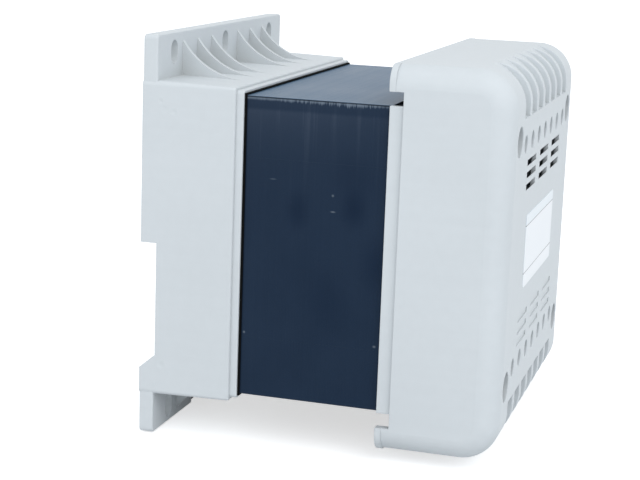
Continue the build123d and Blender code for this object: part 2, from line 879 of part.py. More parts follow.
# Earth strap from the last upper terminal to the core, held under an ear
with BuildPart() as earth_strap:
    with BuildSketch(face_at(core_front)):
        with Locations(strap_place):
            Circle(strap_ring_diameter / 2)
        with Locations(((strap_end + bolt_x) / 2, bolt_z)):
            Rectangle(bolt_x - strap_end, strap_width)
        with Locations(strap_place):
            Circle((bolt_diameter + bolt_play) / 2, mode=Mode.SUBTRACT)
    extrude(amount=strap_thickness)
save(earth_strap, "earth_strap")

# Leads: wires up the front of the coil to the tags of every other terminal, and down to the outer ones
outer_places = terminal_places[:2] + terminal_places[-2:]
for name, sign, diameter, places in (
    ("primary_leads", 1, primary_lead_diameter, terminal_places[:5:2]),
    ("secondary_leads", -1, secondary_lead_diameter, outer_places),
):
    with BuildPart() as leads:
        for x in places:
            start = (x, back_y - lead_depth - diameter / 2, centre_z + sign * tag_low)
            with BuildSketch(Plane(start, z_dir=(0, 0, -sign))):
                Circle(diameter / 2)
            extrude(amount=lead_length)
    save(leads, name)
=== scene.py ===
import math

import bmesh
import bpy
from mathutils import Matrix, Vector


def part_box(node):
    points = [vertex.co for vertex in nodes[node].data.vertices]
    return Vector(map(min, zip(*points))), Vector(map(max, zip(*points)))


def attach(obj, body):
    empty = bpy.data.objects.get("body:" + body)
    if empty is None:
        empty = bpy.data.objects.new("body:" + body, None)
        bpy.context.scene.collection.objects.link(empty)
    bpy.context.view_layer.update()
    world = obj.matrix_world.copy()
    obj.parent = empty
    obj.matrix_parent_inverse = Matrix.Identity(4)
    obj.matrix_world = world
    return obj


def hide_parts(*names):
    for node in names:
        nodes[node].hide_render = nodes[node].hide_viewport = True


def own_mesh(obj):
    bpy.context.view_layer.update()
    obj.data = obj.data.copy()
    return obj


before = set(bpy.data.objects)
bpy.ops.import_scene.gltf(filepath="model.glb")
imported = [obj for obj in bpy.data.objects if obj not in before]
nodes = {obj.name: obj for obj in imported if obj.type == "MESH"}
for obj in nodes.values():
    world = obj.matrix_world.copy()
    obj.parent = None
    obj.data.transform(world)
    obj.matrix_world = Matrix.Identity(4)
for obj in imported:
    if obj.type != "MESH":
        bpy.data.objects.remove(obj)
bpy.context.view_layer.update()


# Rear base: one light grey moulding, a drafted tray with slotted flanges and thin gussets.
# Its faces keep the tool's fine eroded texture, faint drag marks along the draw and, on the
# sides, small sinks over the thick corners of the rail seat.
class Socket:
    """One value in a node tree, of a finish or of a shape. Arithmetic on it adds Math nodes."""

    def __init__(self, tree, socket=None):
        self.tree = tree
        self.socket = socket

    def node(self, kind, settings=None, inputs=None, output=0):
        """Adds a node: its settings first, then the values or links of its sockets."""
        made = self.tree.nodes.new(kind)
        for key, value in (settings or {}).items():
            setattr(made, key, value)
        for key, value in (inputs or {}).items():
            if isinstance(value, Socket):
                self.tree.links.new(value.socket, made.inputs[key])
            else:
                made.inputs[key].default_value = value
        return Socket(self.tree, made.outputs[output] if made.outputs else None)

    def math(self, operation, first, second=0.0):
        """A Math node on two values, of which this socket may be one."""
        return self.node("ShaderNodeMath", {"operation": operation}, {0: first, 1: second})

    def __add__(self, other):
        return self.math("ADD", self, other)

    def __sub__(self, other):
        return self.math("SUBTRACT", self, other)

    def __rsub__(self, other):
        return self.math("SUBTRACT", other, self)

    def __mul__(self, other):
        return self.math("MULTIPLY", self, other)

    def __lt__(self, other):
        return self.math("LESS_THAN", self, other)

    def __gt__(self, other):
        return self.math("GREATER_THAN", self, other)

    def __mod__(self, other):
        return self.math("FLOORED_MODULO", self, other)

    def __abs__(self):
        return self.math("ABSOLUTE", self)

    __radd__ = __add__
    __rmul__ = __mul__

    def noise(self, scale, detail=2.0, roughness=0.5):
        """Noise over a place, from 0 to 1, with its grain about 1 / scale metres wide."""
        return self.node(
            "ShaderNodeTexNoise",
            inputs={"Vector": self, "Scale": scale, "Detail": detail, "Roughness": roughness},
        )

    def stretched(self, scale):
        """The place with each axis scaled by itself, for grain that runs one way."""
        return self.node("ShaderNodeMapping", inputs={"Vector": self, "Scale": scale})

    def ramp(self, low, high):
        """0 below low, 1 above high, and a smooth rise between."""
        return self.node(
            "ShaderNodeMapRange",
            {"interpolation_type": "SMOOTHSTEP"},
            {"Value": self, "From Min": low, "From Max": high},
        )

    def mix(self, low, high):
        """A colour between two, by this value."""
        return self.node("ShaderNodeMix", {"data_type": "RGBA"}, {0: self, 6: low, 7: high}, 2)

    def near(self, centre, reach):
        """1 at a point and 0 from a distance on, of a place in metres."""
        away = self.node(
            "ShaderNodeVectorMath", {"operation": "DISTANCE"}, {0: self, 1: centre}, "Value"
        )
        return 1 - away.ramp(0.0, reach)

    def flecks(self, scale, size, share):
        """1 inside rare small grains scattered through a place, 0 elsewhere."""
        cells = {"Vector": self, "Scale": scale}
        away = self.node("ShaderNodeTexVoronoi", inputs=cells)
        middle = self.node("ShaderNodeTexVoronoi", inputs=cells, output="Position")
        luck = self.node("ShaderNodeTexWhiteNoise", inputs={"Vector": middle}, output="Value")
        return (away < size * scale) * (luck < share)

    def bump(self, height, strength, distance, under=None):
        """A normal that follows a height, on top of another normal if there is one."""
        inputs = {"Height": height, "Strength": strength, "Distance": distance}
        if under:
            inputs["Normal"] = under
        return self.node("ShaderNodeBump", inputs=inputs)

    def surface(self, inputs):
        """Ends a finish in its shader."""
        shader = self.node("ShaderNodeBsdfPrincipled", inputs=inputs)
        self.node("ShaderNodeOutputMaterial", inputs={"Surface": shader})


def emptied(owner):
    """The node tree of a finish or of the surroundings, cleared of its first nodes."""
    owner.use_nodes = True
    owner.node_tree.nodes.clear()
    return Socket(owner.node_tree)


def new_finish(name):
    """An empty finish and the place on the object that its patterns follow."""
    material = bpy.data.materials.new(name)
    return material, emptied(material).node("ShaderNodeTexCoord", output="Object")


def tinted(colour, factor):
    """A colour made darker or lighter by a factor."""
    return (*(min(channel * factor, 1.0) for channel in colour), 1.0)


moulded_edge = 0.00025
corner_reach = 0.012
corner_shade_tint = (0.78, 0.765, 0.735)
texture_depth = 0.00006
sink_depth = 0.0002


def moulded_finish(name, colour, roughness, sinks=(), unshaded_from=0.72):
    """Moulded plastic: eroded texture, drag marks along the draw, painted shade in corners, soft
    sinks.
    """
    material, place = new_finish(name)
    cloud = place.noise(16.0)
    mottle = place.noise(300.0, 3.0)
    grain = place.noise(2400.0)
    drag = place.stretched((420.0, 10.0, 420.0)).noise(1.0)
    dark_grains = place.flecks(70.0, 0.00022, 0.6)
    tone = 0.55 * cloud + 0.25 * mottle + 0.2 * drag - 0.7 * dark_grains
    unshaded = tone.ramp(0.2, 0.8).mix(tinted(colour, 0.965), tinted(colour, 1.03))
    # Painted shade: the colour goes darker and greyer where little of the room is open, in corners,
    # recesses and inside.
    openness = place.node(
        "ShaderNodeAmbientOcclusion",
        {"samples": 6, "only_local": True},
        {"Distance": corner_reach},
        "AO",
    )
    corner_shade = 1 - openness.ramp(0.05, unshaded_from)
    shaded_colour = [channel * tint for channel, tint in zip(colour, corner_shade_tint)]
    height = 0.6 * grain + 0.25 * mottle
    rounded = place.node("ShaderNodeBevel", {"samples": 6}, {"Radius": moulded_edge})
    normal = place.bump(height, 0.18, texture_depth, rounded)
    for centre, reach in sinks:
        normal = place.bump(place.near(centre, reach), 0.5, -sink_depth, normal)
    place.surface(
        {
            "Base Color": corner_shade.mix(unshaded, (*shaded_colour, 1.0)),
            "Roughness": roughness + 0.10 * (cloud - 0.5) + 0.08 * (drag - 0.5),
            "Normal": normal,
            "Specular IOR Level": 0.12,
        }
    )
    return material


def dress(material, *names):
    """Gives CAD pieces a finish in place of their plain one."""
    for name in names:
        nodes[name].material_slots[0].material = material


light_grey = (0.655, 0.692, 0.722)
grey_roughness = 0.47
sink_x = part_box("rear_base")[0].x
sink_spots = (
    (0.0523, 0.1076, 0.0011),
    (0.0509, 0.1050, 0.0018),
    (0.0479, 0.1045, 0.0013),
    (0.0509, 0.0231, 0.0016),
)
# The base's painted shade reaches further out of its corners than the cover's, which darkens its
# gussets.
base_finish = moulded_finish(
    "light_grey_moulding",
    light_grey,
    grey_roughness,
    [((side * sink_x, y, z), reach) for side in (-1, 1) for y, z, reach in sink_spots],
    unshaded_from=0.84,
)
dress(base_finish, "rear_base")


# Rail latches and their springs: dark grey sliders in channels of the base, with a nose for the
# rail's lower edge. A coil of spring wire under each one's lug pushes it up. Each coil is made at
# rest and held by the housing, so it is not pressed when the slider is pulled down.
dark_grey = moulded_finish("dark_grey_moulding", (0.105, 0.112, 0.120), 0.5)
dress(dark_grey, "left_rail_latch", "right_rail_latch")

spring_steel, place = new_finish("spring_steel")
drawn = place.noise(900.0, 3.0)
place.surface(
    {
        "Base Color": drawn.mix((0.42, 0.42, 0.43, 1.0), (0.60, 0.60, 0.61, 1.0)),
        "Metallic": 1.0,
        "Roughness": 0.26 + 0.16 * drawn,
    }
)

wire_radius = 0.000225
dead_turns = 1.0
live_turns = 6.0
steps_per_turn = 22


def linked(name, data):
    """A new object in the scene, for a mesh, a curve, a lamp or a lens."""
    made = bpy.data.objects.new(name, data)
    bpy.context.scene.collection.objects.link(made)
    return made


def plain_mesh(piece):
    """The plain mesh that an object's curve or modifiers come to."""
    return bpy.data.meshes.new_from_object(
        piece.evaluated_get(bpy.context.evaluated_depsgraph_get())
    )


def as_mesh(piece):
    """Replaces an object by one of the same name that holds its plain mesh."""
    name, done = piece.name, plain_mesh(piece)
    bpy.data.objects.remove(piece)
    return linked(name, done)


def coil_spring(name, low, high):
    """A wire coil between two levels, with a flat dead turn at each end."""
    curve = bpy.data.curves.new(name, "CURVE")
    curve.dimensions = "3D"
    curve.bevel_depth = wire_radius
    curve.bevel_resolution = 3
    curve.use_fill_caps = True
    line = curve.splines.new("POLY")
    radius = (high.x - low.x) / 2 - wire_radius
    turns = live_turns + 2 * dead_turns
    count = int(turns * steps_per_turn)
    line.points.add(count)
    dead_rise = 2 * wire_radius * dead_turns
    bottom = low.z + wire_radius
    live_rise = high.z - wire_radius - bottom - 2 * dead_rise
    for index, point in enumerate(line.points):
        turn = turns * index / count
        live = min(max((turn - dead_turns) / live_turns, 0.0), 1.0)
        dead = min(turn, dead_turns) + max(turn - dead_turns - live_turns, 0.0)
        angle = 2 * math.pi * turn
        point.co = (
            (low.x + high.x) / 2 + radius * math.cos(angle),
            (low.y + high.y) / 2 + radius * math.sin(angle),
            bottom + dead * 2 * wire_radius + live * live_rise,
            1.0,
        )
    return as_mesh(linked(name, curve))


for side in ("left", "right"):
    low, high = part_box(f"{side}_latch_spring")
    spring = coil_spring(f"{side}_spring_coil", low, high)
    spring.data.materials.clear()
    spring.data.materials.append(spring_steel)
    spring.data.shade_smooth()
    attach(spring, "housing")
    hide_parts(f"{side}_latch_spring")
    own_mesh(spring)


# Core: some hundred punched steel sheets, each an E and an I that butt at one yoke, laid by turns and
# dipped in dark blue varnish, which fills the joints and keeps smudges, specks and scratches. Painted
# light is in its colour too: a sheen on the sides, a lighter top, highlights and a dark shade line at
# the top edges. The yokes of the last sheets in front are unevenly narrower and leave a dark step.
sheet_pitch = 0.0005
sheet_edge = 0.000018
sheet_corner = 0.00022
butt_gap = 0.000015
bolt_hole_radius = 0.0029
bolt_hole_sides = 8
e_low, e_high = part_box("e_laminations")
i_low, i_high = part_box("i_laminations")
core_middle = (e_low.z + i_high.z) / 2
half_width = e_high.x
half_height = i_high.z - core_middle
butt_height = i_low.z - core_middle
leg = i_high.z - i_low.z


def meshed(name, shape):
    """Ends a shape under construction as an object with a mesh."""
    mesh = bpy.data.meshes.new(name)
    shape.to_mesh(mesh)
    shape.free()
    return linked(name, mesh)


def punched_sheet(name, outlines, holes, thickness, edge):
    """Sheet punchings from outlines and round holes in X and Z, with slightly rolled edges."""
    shape = bmesh.new()
    hole_turns = [2 * math.pi * corner / bolt_hole_sides for corner in range(bolt_hole_sides)]
    rounds = [
        [(x + radius * math.cos(turn), z + radius * math.sin(turn)) for turn in hole_turns]
        for x, z, radius in holes
    ]
    for loop in outlines + rounds:
        corners = [shape.verts.new((x, -thickness / 2, z)) for x, z in loop]
        for corner, after in zip(corners, corners[1:] + corners[:1]):
            shape.edges.new((corner, after))
    bmesh.ops.triangle_fill(shape, edges=shape.edges[:], use_beauty=True, normal=(0, -1, 0))
    raised = bmesh.ops.extrude_face_region(shape, geom=shape.faces[:])["geom"]
    verts = [item for item in raised if isinstance(item, bmesh.types.BMVert)]
    bmesh.ops.translate(shape, verts=verts, vec=(0, thickness, 0))
    bmesh.ops.recalc_face_normals(shape, faces=shape.faces[:])
    rims = [line for line in shape.edges if line.calc_face_angle() > 1.0 and line.calc_length() > 0]
    rims = [line for line in rims if abs(line.verts[0].co.y - line.verts[1].co.y) < thickness / 2]
    bmesh.ops.bevel(shape, geom=rims, offset=edge, segments=1, affect="EDGES")
    return meshed(name, shape)


e_outline = [
    (-half_width + sheet_corner, -half_height),
    (half_width - sheet_corner, -half_height),
    (half_width, -half_height + sheet_corner),
    (half_width, butt_height - butt_gap),
    (half_width - leg, butt_height - butt_gap),
    (half_width - leg, -butt_height),
    (leg, -butt_height),
    (leg, butt_height - butt_gap),
    (-leg, butt_height - butt_gap),
    (-leg, -butt_height),
    (leg - half_width, -butt_height),
    (leg - half_width, butt_height - butt_gap),
    (-half_width, butt_height - butt_gap),
    (-half_width, -half_height + sheet_corner),
]
i_outline = [
    (-half_width, butt_height),
    (half_width, butt_height),
    (half_width, half_height - sheet_corner),
    (half_width - sheet_corner, half_height),
    (sheet_corner - half_width, half_height),
    (-half_width, half_height - sheet_corner),
]
bolt_x, bolt_z = half_width - leg / 2, half_height - leg / 2
bolt_holes = [(x, z, bolt_hole_radius) for x in (-bolt_x, bolt_x) for z in (-bolt_z, bolt_z)]
sheet = punched_sheet("sheet", [e_outline, i_outline], bolt_holes, sheet_pitch, sheet_edge)


def shape_tree(name, inputs):
    """A new shape tree with named inputs, and its output still to be joined up."""
    tree = bpy.data.node_groups.new(name, "GeometryNodeTree")
    for label, kind in inputs:
        tree.interface.new_socket(label, in_out="INPUT", socket_type="NodeSocket" + kind)
    tree.interface.new_socket("Shape", in_out="OUTPUT", socket_type="NodeSocketGeometry")
    entry = tree.nodes.new("NodeGroupInput")
    return tree, {label: Socket(tree, entry.outputs[label]) for label, _ in inputs}


def grown(name, tree, values):
    """Runs a shape tree once on the given values and keeps the plain mesh that comes of it."""
    piece = linked(name, bpy.data.meshes.new(name))
    modifier = piece.modifiers.new("shape", "NODES")
    modifier.node_group = tree
    for item in tree.interface.items_tree:
        if item.in_out == "INPUT":
            modifier[item.identifier] = values[item.name]
    done = plain_mesh(piece)
    piece.modifiers.remove(modifier)
    piece.data = done
    return piece


varnish, place = new_finish("varnished_laminations")
across, depth, level = (
    place.node("ShaderNodeSeparateXYZ", inputs={"Vector": place}, output=axis) for axis in "XYZ"
)
own_tone = place.node("ShaderNodeAttribute", {"attribute_name": "sheet_tone"}, output="Fac")
cloud = place.noise(34.0, 3.0)
runs_and_sheen_streaks = place.stretched((0.0, 620.0, 14.0)).noise(1.0, 3.0)
skin = place.noise(240.0, 4.0)
core_top = i_high.z
sheen_peak_line = core_top - 0.0045
painted_sheen_fall = 0.0095
ragged_length = 0.0017
# Painted sheen: the sides are painted lighter and greyer towards the top, as a reflection of the
# bright room,
above_sheen_peak = level.ramp(sheen_peak_line - 0.0002, sheen_peak_line + 0.0012)
# fading downwards and towards the front, dimmer just above its peak, and in faint upright streaks.
painted_sheen = level.math("EXPONENT", (level - sheen_peak_line) * (1 / painted_sheen_fall))
painted_sheen = painted_sheen * (1 - 0.72 * above_sheen_peak) * depth.ramp(-0.06, 0.03)
painted_sheen = painted_sheen * (0.78 + 0.9 * runs_and_sheen_streaks.ramp(0.52, 0.72))
# The ragged reach sets how far the painted highlight band and shade line come down the sides.
ragged = place.stretched((60.0, 1900.0, 90.0)).noise(1.0, 4.0, 0.6).ramp(0.28, 0.85)
towards_base = depth.ramp(-0.004, 0.024)
ragged_reach = ragged_length * (ragged + towards_base * (0.32 - 0.88 * ragged))
side_face = abs(across).ramp(half_width - 0.0004, half_width - 0.0002)
# Painted shade: a thin dark line just under the top edge of the sides, above the painted highlight.
edge_shade_line = side_face * (level - 0.15 * ragged_reach).ramp(core_top - 0.0007, core_top - 0.00045)
# Painted highlight: a ragged light band along the top of the sides, as light caught by the rounded
# varnish.
edge_glint = side_face * (level + ragged_reach).ramp(core_top - 0.0008, core_top + 0.0002)
# Painted highlight: a light band on the top along its edges over the sides.
top_edge_highlight = abs(across).ramp(half_width - 0.0020, half_width - 0.0008)
# Painted reflection: the top is painted a much lighter blue than the sides, as the bright room seen in
# its varnish.
painted_top_mask = level.ramp(core_top - 0.00012, core_top - 0.00004)


def spots(place, marks):
    """Oval marks on the sides, given by depth, height, half sizes and strength in the middle."""
    sum_of_marks = 0.0
    for y, z, half_long, half_high, strength in marks:
        own_place = place.node(
            "ShaderNodeMapping",
            {"vector_type": "TEXTURE"},
            {"Vector": place, "Location": (0, y, z), "Scale": (1.0, half_long, half_high)},
        )
        sum_of_marks = sum_of_marks + strength * own_place.near((0, 0, 0), 1.0)
    return sum_of_marks


smudges = spots(
    place,
    [
        (0.0078, 0.0768, 0.0052, 0.0095, 0.80),
        (-0.0100, 0.0785, 0.0060, 0.0085, 0.90),
        (-0.0095, 0.0890, 0.0120, 0.0120, 0.50),
        (-0.0180, 0.0620, 0.0080, 0.0115, 0.65),
        (-0.0023, 0.0491, 0.0110, 0.0160, 0.45),
    ],
)
scratches = spots(
    place,
    [
        (-0.0032, 0.0822, 0.0006, 0.0006, 0.80),
        (-0.0034, 0.0772, 0.0012, 0.0004, 0.90),
        (0.0161, 0.0858, 0.0016, 0.0003, 0.45),
        (0.0242, 0.0363, 0.0006, 0.0006, 0.90),
        (-0.0182, 0.0363, 0.0008, 0.0006, 0.80),
    ],
)
grit = place.flecks(95.0, 0.00045, 0.55)
deep_blue, mid_blue = (0.0066, 0.0192, 0.0435, 1.0), (0.0128, 0.0275, 0.0560, 1.0)
smudge_blue = (0.0028, 0.0135, 0.0360, 1.0)
painted_sheen_blue = (0.0330, 0.0500, 0.0830, 1.0)
scratch_grey = (0.130, 0.160, 0.200, 1.0)
glint_blue_grey = (0.140, 0.178, 0.230, 1.0)
edge_shade_black = (0.004, 0.008, 0.016, 1.0)
# The top's lighter blues are painted reflection; the grit on it is real.
painted_top_low, painted_top_high = (0.050, 0.117, 0.202, 1.0), (0.063, 0.133, 0.226, 1.0)
highlight_blue = (0.130, 0.200, 0.290, 1.0)
grit_black = (0.010, 0.016, 0.026, 1.0)
body_tone = cloud.ramp(0.3, 0.7) * 0.5 + 0.12 * own_tone + 0.25 * depth.ramp(-0.025, 0.025)
dulled = smudges.mix(body_tone.mix(deep_blue, mid_blue), smudge_blue)
scratched = scratches.mix(painted_sheen.mix(dulled, painted_sheen_blue), scratch_grey)
side_blue = (0.85 * edge_shade_line).mix(edge_glint.mix(scratched, glint_blue_grey), edge_shade_black)
painted_top_blue = (0.8 * cloud + 0.2 * own_tone).mix(painted_top_low, painted_top_high)
gritty_painted_top = (0.7 * grit).mix((0.5 * top_edge_highlight).mix(painted_top_blue, highlight_blue), grit_black)
place.surface(
    {
        "Base Color": painted_top_mask.mix(side_blue, gritty_painted_top),
        "Roughness": 0.34 + 0.12 * (cloud - 0.5) + 0.04 * (own_tone - 0.5) + 0.2 * grit,
        "Normal": place.bump(0.6 * skin + 0.2 * runs_and_sheen_streaks + 0.9 * grit, 0.12, 0.00012),
        "Specular IOR Level": 0.10,
    }
)

stack_tree, given = shape_tree(
    "lamination_stack",
    [
        ("Sheet", "Object"),
        ("Count", "Int"),
        ("Pitch", "Float"),
        ("Start", "Vector"),
        ("Slip", "Float"),
        ("Loose Slip", "Float"),
        ("Loose Share", "Float"),
        ("Shortest", "Float"),
        ("Narrower", "Float"),
        ("Step Depth", "Float"),
        ("Seed", "Int"),
        ("Varnish", "Material"),
    ],
)
step = given["Pitch"].node("ShaderNodeCombineXYZ", inputs={"Y": given["Pitch"]})
line = step.node(
    "GeometryNodeMeshLine",
    inputs={"Count": given["Count"], "Start Location": given["Start"], "Offset": step},
)
number = step.node("GeometryNodeInputIndex")


def chance(number, seed, low, high):
    """A random value for each numbered thing."""
    return number.node(
        "FunctionNodeRandomValue",
        {"data_type": "FLOAT"},
        {2: low, 3: high, "ID": number, "Seed": seed},
        1,
    )


def own_shape(thing):
    """The shape of an object that is given to a tree."""
    return thing.node("GeometryNodeObjectInfo", inputs={"Object": thing}, output="Geometry")


loose_count = given["Count"] * given["Loose Share"]
loose = 1 - number.math("MINIMUM", number.math("DIVIDE", number, loose_count), 1.0)
reach = given["Slip"] + loose * given["Loose Slip"]
slips = [reach * chance(number, given["Seed"] + offset, -1.0, 1.0) for offset in (0, 1)]
height = 1 - loose * chance(number, given["Seed"] + 3, 0.3, 1.0) * (1 - given["Shortest"])
slipped = line.node(
    "GeometryNodeSetPosition",
    inputs={
        "Geometry": line,
        "Offset": line.node("ShaderNodeCombineXYZ", inputs={"X": slips[0], "Z": slips[1]}),
    },
)
half_turn = line.node("ShaderNodeCombineXYZ", inputs={"Y": (number % 2.0) * math.pi})
laid = line.node(
    "GeometryNodeInstanceOnPoints",
    inputs={
        "Points": slipped,
        "Instance": own_shape(given["Sheet"]),
        "Rotation": half_turn,
        "Scale": line.node("ShaderNodeCombineXYZ", inputs={"X": 1.0, "Y": 1.0, "Z": height}),
    },
)
toned = line.node(
    "GeometryNodeStoreNamedAttribute",
    {"data_type": "FLOAT", "domain": "INSTANCE"},
    {
        "Geometry": laid,
        "Name": "sheet_tone",
        "Value": chance(number, given["Seed"] + 2, 0.0, 1.0),
    },
)
whole = line.node("GeometryNodeRealizeInstances", inputs={"Geometry": toned})
spot = line.node("GeometryNodeInputPosition")
spot_y, spot_z = (
    line.node("ShaderNodeSeparateXYZ", inputs={"Vector": spot}, output=axis) for axis in "YZ"
)
over = spot_z - core_middle
edge_band = 0.003
outer_edge = abs(over).ramp(half_height - edge_band, half_height - edge_band / 3)
step_back = e_low.y + given["Step Depth"]
in_step = 1 - spot_y.ramp(step_back - sheet_pitch / 2, step_back + sheet_pitch / 2)
tone = line.node("GeometryNodeInputNamedAttribute", inputs={"Name": "sheet_tone"})
narrower = given["Narrower"] * outer_edge * in_step * (0.4 + 0.6 * tone)
inwards = line.node(
    "ShaderNodeCombineXYZ", inputs={"Z": -1.0 * over.math("SIGN", over) * narrower}
)
stepped = line.node("GeometryNodeSetPosition", inputs={"Geometry": whole, "Offset": inwards})
painted = line.node(
    "GeometryNodeSetMaterial", inputs={"Geometry": stepped, "Material": given["Varnish"]}
)
line.node("NodeGroupOutput", inputs={"Shape": painted})

sheet_count = round((e_high.y - e_low.y) / sheet_pitch)
core = grown(
    "lamination_stack",
    stack_tree,
    {
        "Sheet": sheet,
        "Count": sheet_count,
        "Pitch": sheet_pitch,
        "Start": (0.0, e_low.y + sheet_pitch / 2, core_middle),
        "Slip": 0.000006,
        "Loose Slip": 0.00010,
        "Loose Share": 0.06,
        "Shortest": 0.960,
        "Narrower": 0.0050,
        "Step Depth": 0.0036,
        "Seed": 7,
        "Varnish": varnish,
    },
)
bpy.data.objects.remove(sheet)
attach(core, "housing")
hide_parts("e_laminations", "i_laminations")


# Edge strip: a dull black strip wrapped round the back of the core, squeezed between it and the
# rim of the base. Its front edge shows as a black line round the core.
black_strip, place = new_finish("black_strip")
fibres = place.noise(900.0, 4.0)
place.surface(
    {
        "Base Color": fibres.mix((0.0015, 0.0017, 0.0020, 1.0), (0.0045, 0.0050, 0.0058, 1.0)),
        "Roughness": 0.8 + 0.2 * (fibres - 0.5),
        "Normal": place.bump(fibres, 0.3, 0.0001),
        "Specular IOR Level": 0.08,
    }
)
dress(black_strip, "edge_strip")


# Coil: enamelled copper wire in two windings on a moulded bobbin, with film between them and a
# wrap outside. It was soaked in the same dark varnish as the core.
bobbin_finish = moulded_finish("bobbin_moulding", (0.52, 0.49, 0.40), 0.42)
dress(bobbin_finish, "bobbin")


def wound_finish(name, low, high, wire, roughness, metallic):
    """Turns of wire, or of film with wire under it, one above the other."""
    material, place = new_finish(name)
    level = place.node("ShaderNodeSeparateXYZ", inputs={"Vector": place}, output="Z")
    across = abs((level % wire) * (2.0 / wire) - 1.0)
    wander = place.stretched((60.0, 60.0, 900.0)).noise(1.0)
    place.surface(
        {
            "Base Color": (0.7 * wander + 0.3 * across).mix(low, high),
            "Roughness": roughness + 0.2 * (wander - 0.5),
            "Metallic": metallic,
            "Normal": place.bump(1 - across * across, 0.6, wire / 4),
        }
    )
    return material


copper = wound_finish(
    "enamelled_copper",
    (0.22, 0.07, 0.025, 1.0),
    (0.50, 0.20, 0.08, 1.0),
    wire=0.0007,
    roughness=0.3,
    metallic=0.8,
)
film = wound_finish(
    "insulation_film",
    (0.010, 0.010, 0.013, 1.0),
    (0.030, 0.030, 0.036, 1.0),
    wire=0.0011,
    roughness=0.33,
    metallic=0.0,
)
dress(copper, "primary_winding", "secondary_winding", "secondary_leads")
dress(film, "inner_insulation", "outer_insulation")


# Terminals: two black moulded blocks in front of the yokes, with a row of brass clamps in their
# cells. A zinc plated screw closes each clamp and is reached through a hole in the cover. Leads
# come up from the coil, and a brass strap earths the core.
black_moulding = moulded_finish("terminal_moulding", (0.030, 0.031, 0.034), 0.45)
dress(black_moulding, "upper_terminal_block", "lower_terminal_block")


def metal_finish(name, low, high, roughness):
    """Plated or bare metal, a little cloudy, with fine marks from rolling or turning."""
    material, place = new_finish(name)
    cloudy = place.noise(380.0, 4.0)
    marks = place.stretched((2600.0, 500.0, 2600.0)).noise(1.0)
    place.surface(
        {
            "Base Color": cloudy.mix(low, high),
            "Metallic": 1.0,
            "Roughness": roughness + 0.18 * (cloudy - 0.5) + 0.10 * (marks - 0.5),
            "Normal": place.bump(marks, 0.12, 0.00004),
        }
    )
    return material


brass = metal_finish("terminal_brass", (0.58, 0.40, 0.15, 1.0), (0.72, 0.54, 0.24, 1.0), 0.30)
zinc = metal_finish("zinc_plated_steel", (0.52, 0.53, 0.53, 1.0), (0.70, 0.70, 0.68, 1.0), 0.30)
sleeve = moulded_finish("lead_sleeve", (0.020, 0.055, 0.150), 0.35)
dress(brass, "upper_terminal_clamps", "lower_terminal_clamps", "earth_strap")
dress(sleeve, "primary_leads")


def turned(name, profile, sides=28):
    """A piece turned about Y from a profile of radius and place, closed where the radius is 0."""
    shape = bmesh.new()
    turns = [2 * math.pi * index / sides for index in range(sides)]
    rings = []
    for radius, y in profile:
        around = turns if radius else turns[:1]
        rings.append(
            [shape.verts.new((radius * math.cos(turn), y, radius * math.sin(turn))) for turn in around]
        )
    for first, second in zip(rings, rings[1:]):
        for index in range(sides):
            corners = [
                first[index % len(first)],
                first[(index + 1) % len(first)],
                second[(index + 1) % len(second)],
                second[index % len(second)],
            ]
            shape.faces.new(list(dict.fromkeys(corners)))
    bmesh.ops.recalc_face_normals(shape, faces=shape.faces[:])
    return meshed(name, shape)


def slab(name, size):
    """A plain block about the origin that cuts a slot or a recess, and isn't kept."""
    shape = bmesh.new()
    bmesh.ops.create_cube(shape, size=1.0)
    bmesh.ops.scale(shape, vec=size, verts=shape.verts[:])
    return meshed(name, shape)


def cut(piece, cutters, bevel):
    """Cuts pieces out of another, breaks the edges and shades it smooth but for its edges."""
    for cutter in cutters:
        piece.modifiers.new("cut", "BOOLEAN").object = cutter
    soft = piece.modifiers.new("soft", "BEVEL")
    soft.width = bevel
    soft.segments = 2
    soft.limit_method = "ANGLE"
    soft.angle_limit = math.radians(40)
    done = as_mesh(piece)
    for cutter in cutters:
        bpy.data.objects.remove(cutter)
    done.data.shade_smooth()
    done.data.set_sharp_from_angle(angle=math.radians(45))
    return done


grid_tree, given = shape_tree(
    "fastener_grid",
    [
        ("Fastener", "Object"),
        ("Columns", "Int"),
        ("Rows", "Int"),
        ("Width", "Float"),
        ("Height", "Float"),
        ("Middle", "Vector"),
        ("Turn", "Float"),
        ("Seed", "Int"),
        ("Finish", "Material"),
    ],
)
grid = given["Width"].node(
    "GeometryNodeMeshGrid",
    inputs={
        "Size X": given["Width"],
        "Size Y": given["Height"],
        "Vertices X": given["Columns"],
        "Vertices Y": given["Rows"],
    },
)
upright = grid.node(
    "GeometryNodeTransform",
    inputs={"Geometry": grid, "Rotation": (math.pi / 2, 0, 0), "Translation": given["Middle"]},
)
number = grid.node("GeometryNodeInputIndex")
turn = given["Turn"] * chance(number, given["Seed"], -1.0, 1.0)
placed = grid.node(
    "GeometryNodeInstanceOnPoints",
    inputs={
        "Points": upright,
        "Instance": own_shape(given["Fastener"]),
        "Rotation": grid.node("ShaderNodeCombineXYZ", inputs={"Y": turn}),
    },
)
whole = grid.node("GeometryNodeRealizeInstances", inputs={"Geometry": placed})
painted = grid.node(
    "GeometryNodeSetMaterial", inputs={"Geometry": whole, "Material": given["Finish"]}
)
grid.node("NodeGroupOutput", inputs={"Shape": painted})

